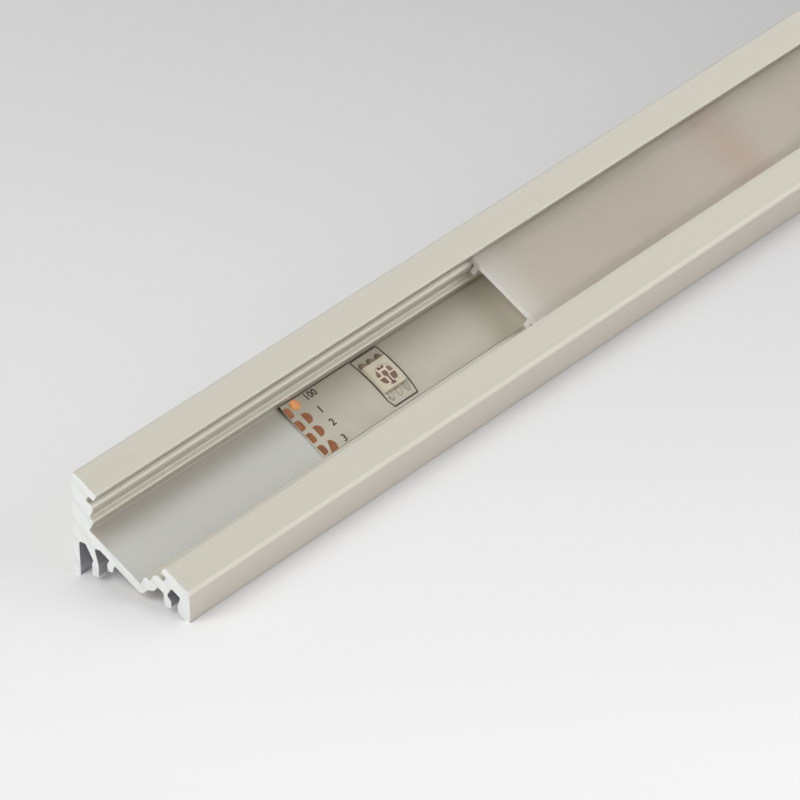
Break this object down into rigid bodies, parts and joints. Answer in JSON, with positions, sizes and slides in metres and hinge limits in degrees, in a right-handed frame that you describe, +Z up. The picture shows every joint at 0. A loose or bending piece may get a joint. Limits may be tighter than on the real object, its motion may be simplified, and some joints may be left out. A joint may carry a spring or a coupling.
{
  "type": "corner LED strip profile",
  "caption": "Aluminium corner extrusion with a sloping light face, a flexible RGB tape on its seat and a frosted cover slid back from the near end.",
  "frame": {"origin": "on the floor, under the middle of the box around the part", "axes": "+X along the length toward the covered end, +Y out of the back face, +Z up"},
  "size_m": [1, 0.021, 0.0166],
  "materials": {
    "anodised_aluminium": "satin anodised",
    "tape_film": "smooth flexible film",
    "package_resin": "moulded white resin",
    "frosted_cover": "frosted translucent"
  },
  "bodies": {
    "root": {"profile": "anodised_aluminium", "led_tape": "tape_film", "led_packages": "package_resin", "diffuser_cover": "frosted_cover"}
  },
  "joints": []
}
